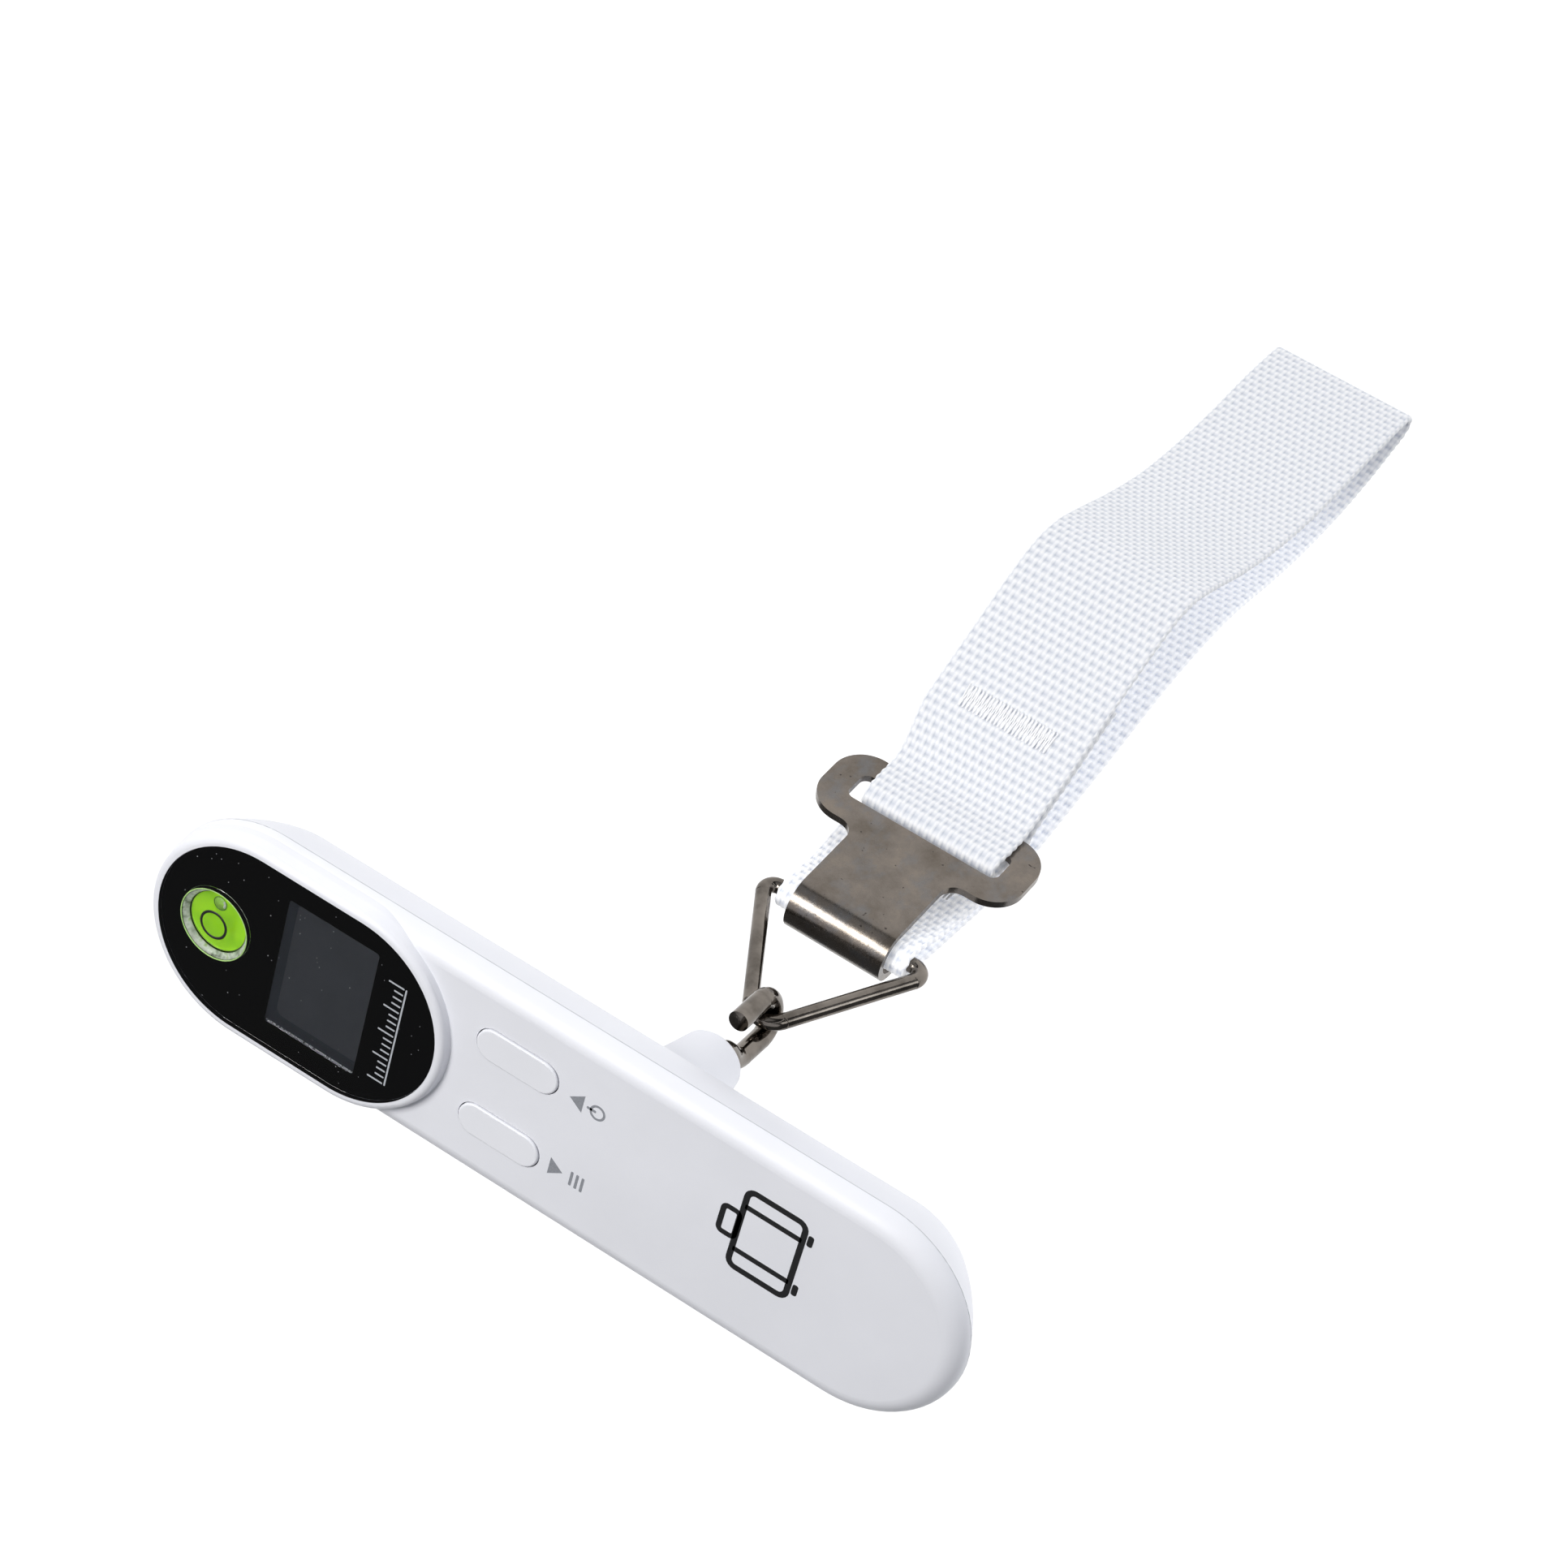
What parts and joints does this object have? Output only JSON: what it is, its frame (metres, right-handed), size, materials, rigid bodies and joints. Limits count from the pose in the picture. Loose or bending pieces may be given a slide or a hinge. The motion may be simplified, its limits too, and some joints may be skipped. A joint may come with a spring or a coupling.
{
  "type": "digital luggage scale",
  "caption": "Hand-held digital luggage scale: flat bar with a glass display, bubble level and buttons, swivel hook, triangle ring and a webbing loop with a hooked buckle plate.",
  "frame": {"origin": "on the hook's swivel axis, in the plane where the front and rear shells meet", "axes": "+Z out of the display face, away from the hanging load; +X along the grip towards the plain tail end, the display lies towards -X; +Y completes the right-handed frame"},
  "size_m": [0.1332, 0.0529, 0.2118],
  "materials": {
    "shell_white": "satin, fine grain",
    "display_glass": "polished",
    "mask_black": "gloss black print behind the glass",
    "lcd_slate": "dark slate when off",
    "backlight_white": "diffuse white",
    "rubber_grey": "matt",
    "vial_clear": "clear moulded",
    "fluid_lime": "lime green liquid",
    "bubble_clear": "air bubble",
    "ring_black": "printed black ring",
    "board_green": "solder mask green",
    "chip_black": "matt black",
    "switch_black": "matt black",
    "cell_aluminium": "machined",
    "gauge_amber": "amber film",
    "screw_steel": "bright steel",
    "wire_red": "satin sleeve",
    "cell_steel": "bright steel case",
    "holder_black": "matt black",
    "contact_gold": "plated spring strip",
    "dark_nickel": "glossy dark nickel plate",
    "gunmetal": "satin dark gunmetal plate",
    "webbing_white": "ribbed white polypropylene weave",
    "thread_white": "white polyester thread"
  },
  "bodies": {
    "housing": {"front_shell": "shell_white", "rear_shell": "shell_white", "display_glass": "display_glass", "display_mask": "mask_black", "lcd_panel": "lcd_slate", "lcd_backlight": "backlight_white", "lcd_connector": "rubber_grey", "level_vial": "vial_clear", "level_fluid": "fluid_lime", "level_bubble": "bubble_clear", "level_ring": "ring_black", "circuit_board": "board_green", "controller_chip": "chip_black", "tact_switches": "switch_black", "load_cell": "cell_aluminium", "strain_gauges": "gauge_amber", "load_cell_screws": "screw_steel", "load_cell_wires": "wire_red", "shell_screws": "screw_steel", "coin_cell": "cell_steel", "battery_holder": "holder_black", "battery_contact_positive": "contact_gold", "battery_contact_negative": "contact_gold", "battery_wires": "wire_red", "hub_bush": "shell_white"},
    "tare_button": {"tare_button": "shell_white", "tare_plunger": "shell_white"},
    "unit_button": {"unit_button": "shell_white", "unit_plunger": "shell_white"},
    "battery_door": {"battery_door": "shell_white"},
    "hook": {"hook": "dark_nickel", "hook_nut": "screw_steel", "hook_washer": "screw_steel"},
    "ring": {"triangle_ring": "dark_nickel"},
    "strap": {"webbing_ring_wrap": "webbing_white", "webbing_lower": "webbing_white", "webbing_upper": "webbing_white", "webbing_return": "webbing_white", "ring_stitching": "thread_white", "buckle_stitching": "thread_white"},
    "buckle": {"buckle_plate": "gunmetal", "webbing_buckle_wrap": "webbing_white"}
  },
  "joints": [
    {"name": "tare_press", "type": "slide", "parent": "housing", "child": "tare_button", "axis": [0, 0, -1], "range_m": [0, 0.0005], "stiffness_N_per_m": 800},
    {"name": "unit_press", "type": "slide", "parent": "housing", "child": "unit_button", "axis": [0, 0, -1], "range_m": [0, 0.0005], "stiffness_N_per_m": 800},
    {"name": "battery_door_open", "type": "hinge", "parent": "housing", "child": "battery_door", "pos_m": [-0.0209, 0, -0.00945], "axis": [0, -1, 0], "range_deg": [0, 100]},
    {"name": "hook_swivel", "type": "hinge", "parent": "housing", "child": "hook", "pos_m": [0, 0, 0], "axis": [0, 0, 1], "continuous": true},
    {"name": "ring_swing", "type": "hinge", "parent": "hook", "child": "ring", "pos_m": [0, -0.00025, -0.04076], "axis": [0, 0.9877, 0.1564], "range_deg": [-70, 70]},
    {"name": "strap_swing", "type": "hinge", "parent": "ring", "child": "strap", "pos_m": [0, 0.0028, -0.06], "axis": [1, 0, 0], "range_deg": [-75, 75]},
    {"name": "buckle_unhook", "type": "slide", "parent": "strap", "child": "buckle", "axis": [0, -0.1392, 0.9903], "range_m": [0, 0.004]}
  ]
}
